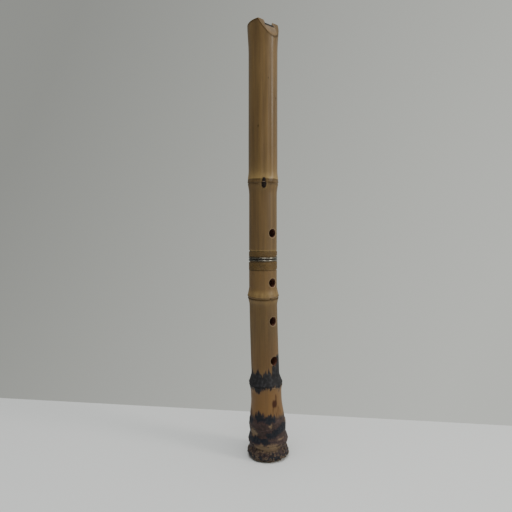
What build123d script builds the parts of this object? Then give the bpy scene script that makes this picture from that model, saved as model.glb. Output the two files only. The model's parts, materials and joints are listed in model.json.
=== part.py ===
from build123d import *
import math
import os

os.makedirs("parts", exist_ok=True)

# An end-blown bamboo flute in two sections, standing on its root end.
# +Z runs up the culm to the mouth, and -Y is the front, with the finger holes and the blowing edge.
# The origin is the centre of the bore at the foot. Lengths are in millimetres and angles in degrees.

# Places along the culm, as heights above the foot
joint_height = 248.5
mouth_height = 548.3
blowing_edge_height = 545.0
finger_hole_heights = [121.1, 170.6, 218.8, 281.1]
thumb_hole_height = 308.0

# Natural bend of the root end: it leans to the front and a little to the right of it
bend_offset = 7.1
bend_heading = 20.0
bend_power = 1.5
bend_bottom = 25.0
bend_top = 222.0

# Culm radii between the nodes, from the root up
root_radius = 22.6
waist_radius = 19.4
lower_radius = 17.65
head_radius = 18.35

# Node rings: the height of each, how far it stands out, and how far it fades above and below
flange_height = 5.0
flange_rise = 3.5
flange_reach = 12.0
ridge_height = 21.7
ridge_rise = 2.0
ridge_reach = 10.0
bulge_height = 40.0
bulge_rise = 0.4
bulge_reach = 10.0
charred_node_height = 92.5
charred_node_rise = 1.7
charred_node_reach = 12.0
middle_node_height = 201.5
middle_node_rise = 2.1
middle_node_reach = 12.0
head_node_height = 345.5
head_node_rise = 1.65
head_node_reach = 15.0
mouth_node_height = 550.0
mouth_node_rise = 1.85
mouth_node_reach = 42.0

# Stubs of the cut roots round the foot flange, in two staggered rows
stub_count = 30
stub_radius = 1.7
stub_proud = 0.7
stub_row_heights = [3.4, 7.6]

# Bore, as radii: it narrows from the mouth to the choke and opens again at the foot
stand_bore_radius = 8.5
stand_bore_depth = 25.0
choke_radius = 7.9
choke_height = 70.0
joint_bore_radius = 9.4
head_bore_radius = 10.2
mouth_lead_in = 12.0
mouth_lead_in_radius = 10.9
lining_top = 515.0
lower_cane_bore_radius = 10.9
upper_cane_bore_radius = 11.2

# Finger and thumb holes
hole_radius = 5.5

# Mouth end: the top is cut on a slant, and the bevel meets the inlay at the blowing edge
mouth_slope = 9.0
bevel_angle = 26.5
blowing_edge_reach = 10.7
notch_width = 14.4
notch_depth = 5.5
inlay_width = 17.2
inlay_face = 2.2
inlay_depth = 5.0
mouth_rounding = 0.8

# Joint: a tenon glued in the upper section slides into a lined socket in the lower one
tenon_radius = 12.6
tenon_length = 20.0
tenon_root = 25.0
tenon_clearance = 0.05
tip_clearance = 1.0
tenon_tip_rounding = 0.8
sleeve_wall = 0.95
glue_gap = 0.02
cane_gap = 0.3

# Joint rings, one on each side of the seam
ring_radius = 18.4
ring_wall = 1.2
ring_height = 2.5
ring_rounding = 0.7
ring_clearance = 0.1
seam_gap = 0.2

# Rattan bindings, each one strand wound in a shallow recess beside its ring
strand_radius = 0.525
strand_turn_radius = 1.1
strand_clearance = 0.05
recess_radius = 17.0
recess_land = 0.4
upper_recess_height = 7.4
lower_recess_height = 11.0
upper_turns = 4
lower_turns = 6
tie_in_angle = 90.0
arcs_per_turn = 8
samples_per_turn = 90

# Spacing of the lofted sections, close at the nodes and wide between them
node_step = 4.0
plain_step = 16.0

node_rings = [
    (flange_height, flange_rise, flange_reach),
    (ridge_height, ridge_rise, ridge_reach),
    (bulge_height, bulge_rise, bulge_reach),
    (charred_node_height, charred_node_rise, charred_node_reach),
    (middle_node_height, middle_node_rise, middle_node_reach),
    (head_node_height, head_node_rise, head_node_reach),
    (mouth_node_height, mouth_node_rise, mouth_node_reach),
]

# Heights that follow from the joint
lower_cane_top = joint_height - cane_gap / 2
upper_cane_bottom = joint_height + cane_gap / 2
lower_ring_top = joint_height - seam_gap / 2
lower_ring_bottom = lower_ring_top - ring_height
lower_rebate_floor = lower_ring_bottom - ring_clearance
upper_ring_bottom = joint_height + seam_gap / 2
upper_ring_top = upper_ring_bottom + ring_height
lower_recess_top = lower_rebate_floor - recess_land
lower_recess_bottom = lower_recess_top - lower_recess_height
upper_recess_bottom = upper_ring_top + recess_land
upper_recess_top = upper_recess_bottom + upper_recess_height
tenon_tip = joint_height - tenon_length
tenon_top = joint_height + tenon_root
socket_floor = tenon_tip - tip_clearance

# Radii that follow from the tenon and the rings
sleeve_inner_radius = tenon_radius + tenon_clearance
sleeve_outer_radius = sleeve_inner_radius + sleeve_wall
ring_inner_radius = ring_radius - ring_wall
lower_spigot_radius = ring_inner_radius - ring_clearance
upper_spigot_radius = ring_inner_radius - glue_gap

front = -90.0
back = 90.0
finger_holes_below = [height for height in finger_hole_heights if height < joint_height]
finger_holes_above = [height for height in finger_hole_heights if height > joint_height]
cane_top = mouth_node_height + mouth_node_rise

# Windings: each strand dives into a pocket at both ends, where it is tied in
strand_centre_radius = recess_radius + strand_clearance + strand_radius
dive_radius = math.sqrt((strand_centre_radius - strand_turn_radius) ** 2 - strand_turn_radius**2)
dive_angle = math.degrees(math.atan2(strand_turn_radius, dive_radius))
strand_end_radius = dive_radius - 2 * strand_radius
pocket_floor_radius = strand_end_radius - strand_clearance
pocket_radius = strand_radius + strand_turn_radius / 2 + strand_clearance
strand_room = 2 * (strand_radius + strand_clearance)
lower_start = lower_recess_bottom + strand_room / 2
lower_pitch = (lower_recess_height - strand_room) / lower_turns
upper_start = upper_recess_bottom + strand_room / 2
upper_pitch = (upper_recess_height - strand_room) / upper_turns

# A cutter that clears the culm has this radius
beyond_culm = root_radius + flange_rise + stub_proud


def smooth_share(height, low, high):
    """Rise smoothly from 0 at low to 1 at high."""
    share = min(max((height - low) / (high - low), 0.0), 1.0)
    return share * share * (3 - 2 * share)


def culm_centre(height):
    """Give the centre of the culm at a height, on its natural bend."""
    share = min(max((bend_top - height) / (bend_top - bend_bottom), 0.0), 1.0)
    offset = bend_offset * (1 - share**bend_power)
    heading = math.radians(bend_heading)
    return (-offset * math.sin(heading), offset * math.cos(heading), height)


def culm_radius(height):
    """Give the outer radius of the culm at a height, with its node rings."""
    radius = root_radius
    radius += (waist_radius - root_radius) * smooth_share(height, bulge_height, 1.8 * bulge_height)
    node_start = charred_node_height - charred_node_reach / 3
    node_end = charred_node_height + charred_node_reach
    radius += (lower_radius - waist_radius) * smooth_share(height, node_start, node_end)
    node_start = head_node_height - head_node_reach / 2
    node_end = head_node_height + head_node_reach
    radius += (head_radius - lower_radius) * smooth_share(height, node_start, node_end)
    for ring_at, rise, reach in node_rings:
        share = min(abs(height - ring_at) / reach, 1.0)
        radius += rise * (1 + math.cos(math.pi * share)) / 2
    return radius


def bore_radius(height):
    """Give the radius of the lined bore at a height, straight between its stations."""
    stations = [
        (stand_bore_depth, stand_bore_radius),
        (choke_height, choke_radius),
        (socket_floor, joint_bore_radius),
        (tenon_top, joint_bore_radius),
        (lining_top - mouth_lead_in, head_bore_radius),
        (lining_top, mouth_lead_in_radius),
    ]
    for (low, low_radius), (high, high_radius) in zip(stations, stations[1:]):
        if height <= high:
            share = (height - low) / (high - low)
            return low_radius + (high_radius - low_radius) * share
    return mouth_lead_in_radius


def section_heights(low, high):
    """List the heights of the lofted sections from low to high."""
    heights = [low]
    while high - heights[-1] > node_step:
        here = heights[-1]
        near_node = any(abs(here - at) < reach + node_step / 2 for at, rise, reach in node_rings)
        step = node_step if near_node else plain_step
        heights.append(min(here + step, high - node_step / 2))
    return heights + [high]


def culm_plane(height):
    """Give the level plane centred on the culm at a height."""
    return Plane(origin=culm_centre(height))


def radial_plane(height, angle, radius):
    """Give the plane that faces outwards from the culm, with local x along the turn."""
    outward = Vector(math.cos(math.radians(angle)), math.sin(math.radians(angle)), 0)
    along = outward.rotate(Axis.Z, 90)
    return Plane(origin=Vector(culm_centre(height)) + outward * radius, x_dir=along, z_dir=outward)


def cut_hole(height, angle):
    """Cut one finger or thumb hole from the centre of the culm outwards."""
    with BuildSketch(radial_plane(height, angle, 0)) as hole:
        Circle(hole_radius)
    extrude(hole.sketch, amount=beyond_culm, mode=Mode.SUBTRACT)


def cut_band(low, high, radius):
    """Turn the culm down to a radius between two heights."""
    with BuildSketch(culm_plane(low)) as band:
        Circle(beyond_culm)
        Circle(radius, mode=Mode.SUBTRACT)
    extrude(band.sketch, amount=high - low, mode=Mode.SUBTRACT)


def cut_bore(low, high, radius):
    """Bore the culm to a radius between two heights."""
    with BuildSketch(culm_plane(low)) as bore:
        Circle(radius)
    extrude(bore.sketch, amount=high - low, mode=Mode.SUBTRACT)


def add_tube(low, high, outer_radius, inner_radius):
    """Add a plain tube on the culm's centre."""
    with BuildSketch(culm_plane(low)) as wall:
        Circle(outer_radius)
        Circle(inner_radius, mode=Mode.SUBTRACT)
    extrude(wall.sketch, amount=high - low)


def cut_tie_in(height, side):
    """Cut the pocket that one end of a strand dives into."""
    with BuildSketch(radial_plane(height, tie_in_angle, pocket_floor_radius)) as pocket:
        with Locations((side * strand_turn_radius / 2, 0)):
            Circle(pocket_radius)
    extrude(pocket.sketch, amount=recess_radius - pocket_floor_radius, mode=Mode.SUBTRACT)


def winding_point(start_height, pitch, angle):
    """Give the strand's centre after it has turned through an angle."""
    place = radial_plane(start_height, tie_in_angle + angle, strand_centre_radius).origin
    return place + Vector(0, 0, pitch * angle / 360)


def wind_strand(start_height, pitch, turns):
    """Lay a strand's centre line: out of its pocket, round the culm, and back in."""
    outward = radial_plane(start_height, tie_in_angle, 0).z_dir
    centre = Vector(culm_centre(start_height))
    whole = 360 * turns
    arc_count = arcs_per_turn * turns
    leg = Line(centre + outward * strand_end_radius, centre + outward * dive_radius)
    stops = [dive_angle]
    stops += [whole * step / arc_count for step in range(1, arc_count)]
    stops += [whole - dive_angle]
    for angle in stops:
        leg = TangentArc(leg @ 1, winding_point(start_height, pitch, angle), tangent=leg % 1)
    dive = centre + outward * dive_radius + Vector(0, 0, pitch * turns)
    leg = TangentArc(leg @ 1, dive, tangent=leg % 1)
    Line(leg @ 1, leg @ 1 + (leg % 1) * 2 * strand_radius)


def least_gap(route, turns):
    """Measure the least gap between one turn of a strand and the turns beside it."""
    samples = samples_per_turn * turns
    points = [route @ (step / samples) for step in range(samples + 1)]
    nearest = math.inf
    for index, point in enumerate(points):
        for other in points[index + samples_per_turn // 2:]:
            nearest = min(nearest, (point - other).length)
    return nearest - 2 * strand_radius


# Planes of the head: its side view, with local x to the front and local y up, and its two cuts
head_x, head_y = culm_centre(blowing_edge_height)[:2]
mouth_tilt = math.radians(mouth_slope)
bevel_tilt = math.radians(bevel_angle)
head_side_plane = Plane(origin=(head_x, head_y, 0), x_dir=(0, -1, 0), z_dir=(-1, 0, 0))
mouth_plane = Plane(
    origin=(head_x, head_y, mouth_height),
    z_dir=(0, math.sin(mouth_tilt), math.cos(mouth_tilt)),
)
bevel_plane = Plane(
    origin=(head_x, head_y - blowing_edge_reach, blowing_edge_height),
    z_dir=(0, -math.cos(bevel_tilt), math.sin(bevel_tilt)),
)

# Inlay, seen from the side: its edge, its face on the bevel, and the tongue let into the wall below
face_reach = blowing_edge_reach + inlay_face * math.sin(bevel_tilt)
face_height = blowing_edge_height - inlay_face * math.cos(bevel_tilt)
tongue_height = blowing_edge_height - inlay_depth
inlay_outline = [
    (blowing_edge_reach, blowing_edge_height),
    (face_reach, face_height),
    (face_reach, tongue_height),
    (blowing_edge_reach, tongue_height),
]
upper_bore_stations = [tenon_top, lining_top - mouth_lead_in, lining_top]


# Lower culm: the root end of the cane, with its nodes, socket, rebate and recess
with BuildPart() as lower_culm:
    for height in section_heights(0.0, lower_cane_top):
        with BuildSketch(culm_plane(height)):
            Circle(culm_radius(height))
    loft()
    for row, row_height in enumerate(stub_row_heights):
        for stub in range(stub_count):
            stub_angle = 360 * (stub + row / 2) / stub_count
            stub_reach = culm_radius(row_height) + stub_proud
            with BuildSketch(radial_plane(row_height, stub_angle, root_radius)):
                Circle(stub_radius)
            extrude(amount=stub_reach - root_radius)
    for height in section_heights(stand_bore_depth, socket_floor):
        with BuildSketch(culm_plane(height)):
            Circle(lower_cane_bore_radius)
    loft(mode=Mode.SUBTRACT)
    cut_bore(0.0, stand_bore_depth, stand_bore_radius)
    cut_bore(socket_floor, lower_cane_top, sleeve_outer_radius + glue_gap)
    cut_band(lower_rebate_floor, lower_cane_top, lower_spigot_radius)
    cut_band(lower_recess_bottom, lower_recess_top, recess_radius)
    cut_tie_in(lower_start, 1)
    cut_tie_in(lower_start + lower_pitch * lower_turns, -1)
    for hole_height in finger_holes_below:
        cut_hole(hole_height, front)

# Lower bore lining: paste and lacquer from the bare bore of the foot up to the socket
with BuildPart() as lower_bore_lining:
    for height in section_heights(stand_bore_depth, socket_floor):
        with BuildSketch(culm_plane(height)):
            Circle(lower_cane_bore_radius)
    loft()
    for height in section_heights(stand_bore_depth, socket_floor):
        with BuildSketch(culm_plane(height)):
            Circle(bore_radius(height))
    loft(mode=Mode.SUBTRACT)
    for hole_height in finger_holes_below:
        cut_hole(hole_height, front)

# Socket sleeve: lines the socket that takes the tenon
with BuildPart() as socket_sleeve:
    add_tube(socket_floor, lower_cane_top, sleeve_outer_radius, sleeve_inner_radius)

# Upper culm: the head of the cane, from the joint to the mouth
with BuildPart() as upper_culm:
    for height in section_heights(upper_cane_bottom, cane_top):
        with BuildSketch(culm_plane(height)):
            Circle(culm_radius(height))
    loft()
    cut_bore(upper_cane_bottom, tenon_top, tenon_radius + glue_gap)
    cut_bore(tenon_top, cane_top, upper_cane_bore_radius)
    cut_band(upper_cane_bottom, upper_ring_top, upper_spigot_radius)
    cut_band(upper_recess_bottom, upper_recess_top, recess_radius)
    cut_tie_in(upper_start, 1)
    cut_tie_in(upper_start + upper_pitch * upper_turns, -1)
    for hole_height in finger_holes_above:
        cut_hole(hole_height, front)
    cut_hole(thumb_hole_height, back)
    split(bisect_by=mouth_plane, keep=Keep.BOTTOM)
    split(bisect_by=bevel_plane, keep=Keep.BOTTOM)
    with BuildSketch(head_side_plane):
        with BuildLine():
            Polyline(
                (0, blowing_edge_height - notch_depth),
                (blowing_edge_reach, blowing_edge_height - notch_depth),
                (blowing_edge_reach, blowing_edge_height),
                (beyond_culm, blowing_edge_height),
                (beyond_culm, cane_top),
                (0, cane_top),
                close=True,
            )
        make_face()
    extrude(amount=notch_width / 2, both=True, mode=Mode.SUBTRACT)
    with BuildSketch(head_side_plane):
        with BuildLine():
            Polyline(*inlay_outline, close=True)
        make_face()
    extrude(amount=inlay_width / 2, both=True, mode=Mode.SUBTRACT)
    rim_edges = upper_culm.faces().sort_by(Axis.Z)[-1].edges().filter_by(GeomType.ELLIPSE)
    fillet(rim_edges.filter_by(lambda edge: edge.length > mouth_rounding), mouth_rounding)

# Blowing edge inlay: a plate of horn let into the bevel, its top the straight edge that splits the air
with BuildPart() as blowing_edge_inlay:
    with BuildSketch(head_side_plane):
        with BuildLine():
            Polyline(*inlay_outline, close=True)
        make_face()
    extrude(amount=inlay_width / 2, both=True)

# Upper bore lining: from the tenon's end up to the bare mouth
with BuildPart() as upper_bore_lining:
    add_tube(tenon_top, lining_top, upper_cane_bore_radius, joint_bore_radius)
    for low in upper_bore_stations:
        with BuildSketch(culm_plane(low)):
            Circle(bore_radius(low))
    loft(ruled=True, mode=Mode.SUBTRACT)
    for hole_height in finger_holes_above:
        cut_hole(hole_height, front)
    cut_hole(thumb_hole_height, back)

# Joint tenon: glued in the upper culm, and a push fit in the socket sleeve
with BuildPart() as joint_tenon:
    add_tube(tenon_tip, tenon_top, tenon_radius, joint_bore_radius)
    tip_edges = joint_tenon.edges().filter_by(GeomType.CIRCLE).group_by(Axis.Z)[0]
    fillet(tip_edges.sort_by(SortBy.RADIUS)[-1], tenon_tip_rounding)

# Joint rings: a rounded bead on each side of the seam
with BuildPart() as lower_joint_ring:
    add_tube(lower_ring_bottom, lower_ring_top, ring_radius, ring_inner_radius)
    fillet(lower_joint_ring.edges().filter_by(GeomType.CIRCLE).group_by(SortBy.RADIUS)[-1], ring_rounding)

with BuildPart() as upper_joint_ring:
    add_tube(upper_ring_bottom, upper_ring_top, ring_radius, ring_inner_radius)
    fillet(upper_joint_ring.edges().filter_by(GeomType.CIRCLE).group_by(SortBy.RADIUS)[-1], ring_rounding)

# Rattan bindings: one strand each, wound upwards and tied in at the back
with BuildPart() as lower_rattan_binding:
    with BuildLine() as lower_strand:
        wind_strand(lower_start, lower_pitch, lower_turns)
    with BuildSketch(Plane(origin=lower_strand.line @ 0, z_dir=lower_strand.line % 0)):
        Circle(strand_radius)
    sweep()

with BuildPart() as upper_rattan_binding:
    with BuildLine() as upper_strand:
        wind_strand(upper_start, upper_pitch, upper_turns)
    with BuildSketch(Plane(origin=upper_strand.line @ 0, z_dir=upper_strand.line % 0)):
        Circle(strand_radius)
    sweep()

print(f"lower binding, least gap between turns: {least_gap(lower_strand.line, lower_turns):.3f} mm")
print(f"upper binding, least gap between turns: {least_gap(upper_strand.line, upper_turns):.3f} mm")

lower_culm.part.label = "lower_culm"
lower_bore_lining.part.label = "lower_bore_lining"
socket_sleeve.part.label = "socket_sleeve"
lower_joint_ring.part.label = "lower_joint_ring"
lower_rattan_binding.part.label = "lower_rattan_binding"
upper_culm.part.label = "upper_culm"
blowing_edge_inlay.part.label = "blowing_edge_inlay"
upper_bore_lining.part.label = "upper_bore_lining"
joint_tenon.part.label = "joint_tenon"
upper_joint_ring.part.label = "upper_joint_ring"
upper_rattan_binding.part.label = "upper_rattan_binding"

export_step(lower_culm.part, "parts/lower_culm.step")
export_step(lower_bore_lining.part, "parts/lower_bore_lining.step")
export_step(socket_sleeve.part, "parts/socket_sleeve.step")
export_step(lower_joint_ring.part, "parts/lower_joint_ring.step")
export_step(lower_rattan_binding.part, "parts/lower_rattan_binding.step")
export_step(upper_culm.part, "parts/upper_culm.step")
export_step(blowing_edge_inlay.part, "parts/blowing_edge_inlay.step")
export_step(upper_bore_lining.part, "parts/upper_bore_lining.step")
export_step(joint_tenon.part, "parts/joint_tenon.step")
export_step(upper_joint_ring.part, "parts/upper_joint_ring.step")
export_step(upper_rattan_binding.part, "parts/upper_rattan_binding.step")
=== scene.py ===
"""Dresses an end-blown bamboo flute that stands on its root end, and sets its stage."""

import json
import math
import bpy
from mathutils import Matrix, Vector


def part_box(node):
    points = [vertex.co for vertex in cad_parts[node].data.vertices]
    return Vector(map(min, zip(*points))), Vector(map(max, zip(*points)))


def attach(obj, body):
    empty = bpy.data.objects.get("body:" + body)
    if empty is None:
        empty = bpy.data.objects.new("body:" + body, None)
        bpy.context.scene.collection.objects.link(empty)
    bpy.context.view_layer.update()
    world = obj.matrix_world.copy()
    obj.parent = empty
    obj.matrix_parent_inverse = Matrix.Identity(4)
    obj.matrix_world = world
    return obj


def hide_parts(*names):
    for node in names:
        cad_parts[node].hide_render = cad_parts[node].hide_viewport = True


bl_info = {
    "name": "Bamboo flute",
    "version": (1, 0, 0),
    "blender": (4, 5, 0),
    "location": "3D View > Sidebar > Flute",
    "description": "Canes, bindings, rings and finishes of a two-section end-blown bamboo flute",
    "category": "Add Mesh",
}

import bmesh
import bpy
from mathutils import Matrix, Vector, noise

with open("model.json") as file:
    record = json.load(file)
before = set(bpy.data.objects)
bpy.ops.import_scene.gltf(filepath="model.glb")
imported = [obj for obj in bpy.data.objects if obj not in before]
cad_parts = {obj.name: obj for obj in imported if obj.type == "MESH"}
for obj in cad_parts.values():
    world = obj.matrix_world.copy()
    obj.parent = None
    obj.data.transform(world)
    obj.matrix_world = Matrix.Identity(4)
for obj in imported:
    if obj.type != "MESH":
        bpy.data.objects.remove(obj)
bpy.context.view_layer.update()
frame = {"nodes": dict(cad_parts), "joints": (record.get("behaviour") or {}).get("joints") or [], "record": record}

MM = 0.001
LOWER, RING, UPPER = "lower_section", "joint_ring", "upper_section"
FRONT = -math.pi / 2
BACK = math.pi / 2


def node_box(node):
    """Give a CAD node's bottom, top and outer radius, for a round node on the straight axis."""
    low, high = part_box(node)
    return low.z, high.z, (high.x - low.x) / 2


joint_x, joint_y, joint_z = frame["joints"][0]["pos_m"]
hole_boxes = {entry["name"]: entry["box_m"] for entry in frame["record"]["physics"]["openings"]}


inlay_low, inlay_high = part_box("blowing_edge_inlay")


def hole_height(name):
    """Give the height of a finger or thumb hole, from the box that the record keeps clear in it."""
    low, high = hole_boxes[name]
    return (low[2] + high[2]) / 2


class FluteCanes(bpy.types.PropertyGroup):
    """Sizes of the two canes."""

    root_radius: bpy.props.FloatProperty(
        name="Root radius", description="Radius of the root end", default=22.6 * MM, unit="LENGTH"
    )
    waist_radius: bpy.props.FloatProperty(
        name="Waist radius", description="Radius of the internode above the root",
        default=19.4 * MM, unit="LENGTH",
    )
    lower_radius: bpy.props.FloatProperty(
        name="Lower radius", description="Radius of the internodes that hold the finger holes",
        default=17.65 * MM, unit="LENGTH",
    )
    head_radius: bpy.props.FloatProperty(
        name="Head radius", description="Radius of the long top internode",
        default=18.35 * MM, unit="LENGTH",
    )
    bend_offset: bpy.props.FloatProperty(
        name="Bend", description="How far the root end leans away from the straight axis",
        default=7.1 * MM, unit="LENGTH",
    )
    hole_radius: bpy.props.FloatProperty(
        name="Hole radius", description="Radius of the finger holes and the thumb hole",
        default=5.5 * MM, unit="LENGTH",
    )
    hole_rounding: bpy.props.FloatProperty(
        name="Hole rounding", description="Rounding of the rim of each hole",
        default=0.9 * MM, unit="LENGTH",
    )
    sulcus_depth: bpy.props.FloatProperty(
        name="Groove depth", description="Depth of the long groove above the bud",
        default=0.9 * MM, unit="LENGTH",
    )
    mouth_slope: bpy.props.FloatProperty(
        name="Mouth slope", description="Slant of the cut across the mouth",
        default=math.radians(9), subtype="ANGLE",
    )
    bevel_slope: bpy.props.FloatProperty(
        name="Bevel slope", description="Lean of the blowing edge's bevel from the upright",
        default=math.radians(26.5), subtype="ANGLE",
    )
    steps_round: bpy.props.IntProperty(
        name="Steps round", description="Faces round each cane", default=192, min=48, max=360
    )


class FluteJoint(bpy.types.PropertyGroup):
    """Sizes of the joint's rings and bindings."""

    lower_turns: bpy.props.IntProperty(
        name="Lower turns", description="Turns of rattan below the rings", default=6, min=1
    )
    upper_turns: bpy.props.IntProperty(
        name="Upper turns", description="Turns of rattan above the rings", default=4, min=1
    )
    strip_thickness: bpy.props.FloatProperty(
        name="Strip thickness", description="Thickness of the split rattan",
        default=1.0 * MM, unit="LENGTH",
    )
    strip_gap: bpy.props.FloatProperty(
        name="Strip gap", description="Gap between one turn and the next",
        default=0.06 * MM, unit="LENGTH",
    )


class FluteColours(bpy.types.PropertyGroup):
    """Colours of the finishes, in linear light."""

    skin: bpy.props.FloatVectorProperty(
        name="Skin", description="Seasoned bamboo skin", default=(0.152, 0.092, 0.034),
        subtype="COLOR", size=3, min=0, max=1,
    )
    shade: bpy.props.FloatVectorProperty(
        name="Shade", description="Darker streaks of the skin", default=(0.103, 0.062, 0.025),
        subtype="COLOR", size=3, min=0, max=1,
    )
    gold: bpy.props.FloatVectorProperty(
        name="Gold", description="Golden skin low on the cane", default=(0.172, 0.088, 0.028),
        subtype="COLOR", size=3, min=0, max=1,
    )
    pale: bpy.props.FloatVectorProperty(
        name="Pale", description="Pale skin just above a node", default=(0.31, 0.21, 0.078),
        subtype="COLOR", size=3, min=0, max=1,
    )
    cut: bpy.props.FloatVectorProperty(
        name="Cut", description="Cut face of the bamboo", default=(0.30, 0.205, 0.120),
        subtype="COLOR", size=3, min=0, max=1,
    )
    char: bpy.props.FloatVectorProperty(
        name="Char", description="Scorched skin", default=(0.017, 0.0165, 0.018),
        subtype="COLOR", size=3, min=0, max=1,
    )
    scorch: bpy.props.FloatVectorProperty(
        name="Scorch", description="Purple-brown edge of the scorching", default=(0.038, 0.021, 0.020),
        subtype="COLOR", size=3, min=0, max=1,
    )
    lacquer: bpy.props.FloatVectorProperty(
        name="Lacquer", description="Lacquer of the bore", default=(0.16, 0.070, 0.048),
        subtype="COLOR", size=3, min=0, max=1,
    )
    rattan: bpy.props.FloatVectorProperty(
        name="Rattan", description="Split rattan of the bindings", default=(0.118, 0.070, 0.022),
        subtype="COLOR", size=3, min=0, max=1,
    )
    silver: bpy.props.FloatVectorProperty(
        name="Silver", description="Rings of the joint", default=(0.14, 0.13, 0.108),
        subtype="COLOR", size=3, min=0, max=1,
    )
    horn: bpy.props.FloatVectorProperty(
        name="Horn", description="Inlay of the blowing edge", default=(0.012, 0.010, 0.009),
        subtype="COLOR", size=3, min=0, max=1,
    )


class FluteStage(bpy.types.PropertyGroup):
    """Camera, light and floor."""

    camera_azimuth: bpy.props.FloatProperty(
        name="Azimuth", description="Where the camera stands round the flute",
        default=math.radians(-44), subtype="ANGLE",
    )
    camera_distance: bpy.props.FloatProperty(
        name="Distance", description="From the camera to the flute's axis", default=0.629, unit="LENGTH"
    )
    camera_height: bpy.props.FloatProperty(
        name="Eye level", description="Height of the camera above the table", default=0.2958,
        unit="LENGTH",
    )
    focal_pixels: bpy.props.FloatProperty(
        name="Focal length", description="Focal length in pixels of the photograph", default=492.0
    )
    flute_pixel_x: bpy.props.FloatProperty(
        name="Flute's column", description="Pixel column of the flute's axis", default=263.0
    )
    horizon_pixel_y: bpy.props.FloatProperty(
        name="Eye level's row", description="Pixel row of the eye level", default=221.5
    )
    floor_colour: bpy.props.FloatVectorProperty(
        name="Floor", description="Pale table top", default=(0.72, 0.735, 0.74),
        subtype="COLOR", size=3, min=0, max=1,
    )
    room_colour: bpy.props.FloatVectorProperty(
        name="Room", description="Pale room behind and around", default=(0.42, 0.43, 0.40),
        subtype="COLOR", size=3, min=0, max=1,
    )


SETTINGS = {
    "flute_canes": FluteCanes,
    "flute_joint": FluteJoint,
    "flute_colours": FluteColours,
    "flute_stage": FluteStage,
}

PHOTO_SIDE = 512

# Nodes of the canes: height, rise, reach, wave of the ring and how crisp its ridge is
NODES = [
    (21.7, 2.0, 10.0, 0.8, 0.5),
    (40.0, 0.4, 10.0, 1.0, 0.35),
    (92.5, 1.7, 12.0, 1.2, 0.55),
    (201.5, 1.9, 12.0, 1.5, 0.55),
    (345.5, 1.5, 15.0, 0.4, 0.45),
]
BUD_ANGLE = math.radians(-131.5)
GROOVE_ANGLE = math.radians(-120)
VIEW_ANGLE = math.radians(-134)
ROOT_REACH = 26.6 * MM


def smooth_share(value, low, high):
    """Rise smoothly from 0 at low to 1 at high."""
    share = min(max((value - low) / (high - low), 0.0), 1.0)
    return share * share * (3 - 2 * share)


def bell(value, centre, width):
    """Give a smooth hump of height 1."""
    return math.exp(-(((value - centre) / width) ** 2))


def turn_between(angle, other):
    """Give the smallest turn from one angle to another, signed."""
    return (angle - other + math.pi) % math.tau - math.pi


def wander(angle, height, seed, size=1.0, stretch=1.0):
    """Give a smooth random value round and up the cane, from -1 to 1."""
    spot = Vector((math.cos(angle) * size, math.sin(angle) * size, height * stretch + seed * 7.3))
    return noise.noise(spot)


def cane_centre(canes, height):
    """Give the centre of the cane at a height, on its natural bend."""
    bend_bottom, bend_top, bend_power = 25.0 * MM, 222.0 * MM, 1.5
    share = min(max((bend_top - height) / (bend_top - bend_bottom), 0.0), 1.0)
    lean = share**bend_power
    return joint_x * (1 - lean), joint_y * (1 - lean)


def plain_radius(canes, height):
    """Give the radius of the cane between its nodes."""
    radius = canes.root_radius
    radius += (canes.waist_radius - canes.root_radius) * smooth_share(height, 40 * MM, 72 * MM)
    radius += (canes.lower_radius - canes.waist_radius) * smooth_share(height, 88.5 * MM, 104.5 * MM)
    radius += (canes.head_radius - canes.lower_radius) * smooth_share(height, 338 * MM, 360.5 * MM)
    share = min(abs(height - 5 * MM) / (12 * MM), 1.0)
    radius += 3.3 * MM * (1 + math.cos(math.pi * share)) / 2
    share = min(abs(height - 550 * MM) / (42 * MM), 1.0)
    radius += 1.8 * MM * (1 + math.cos(math.pi * share)) / 2
    return radius


def node_relief(height, angle):
    """Give how far the nodes stand out, with their ridge, scar groove and wavy ring."""
    relief = 0.0
    for node_height, rise, reach, wave, crisp in NODES:
        ring = height / MM - node_height + wave * math.cos(turn_between(angle, BUD_ANGLE))
        ring += 0.5 * wave * wander(angle, 0, node_height, 1.5)
        if abs(ring) > reach:
            continue
        relief += rise * (1 + math.cos(math.pi * ring / reach)) / 2
        relief += crisp * bell(ring, 0.4, 0.9)
        relief -= 0.8 * crisp * bell(ring, -1.5, 0.6)
        relief += 0.5 * crisp * bell(ring, -2.9, 0.7)
    return relief * MM


def groove_relief(canes, height, angle):
    """Give the long shallow groove that runs up from the bud, and its shorter likes below."""
    turn = turn_between(angle, GROOVE_ANGLE)
    depth = smooth_share(height, 349 * MM, 356 * MM) * (1 - 0.6 * smooth_share(height, 370 * MM, 540 * MM))
    relief = -canes.sulcus_depth * depth * math.exp(-((turn / math.radians(19)) ** 6))
    back = turn_between(angle, GROOVE_ANGLE + math.pi)
    depth = smooth_share(height, 204 * MM, 212 * MM) * (1 - smooth_share(height, 225 * MM, 330 * MM))
    relief -= 0.6 * canes.sulcus_depth * depth * bell(back, 0, math.radians(20))
    depth = smooth_share(height, 96 * MM, 104 * MM) * (1 - smooth_share(height, 110 * MM, 190 * MM))
    relief -= 0.5 * canes.sulcus_depth * depth * bell(turn, 0, math.radians(20))
    return relief


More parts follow.
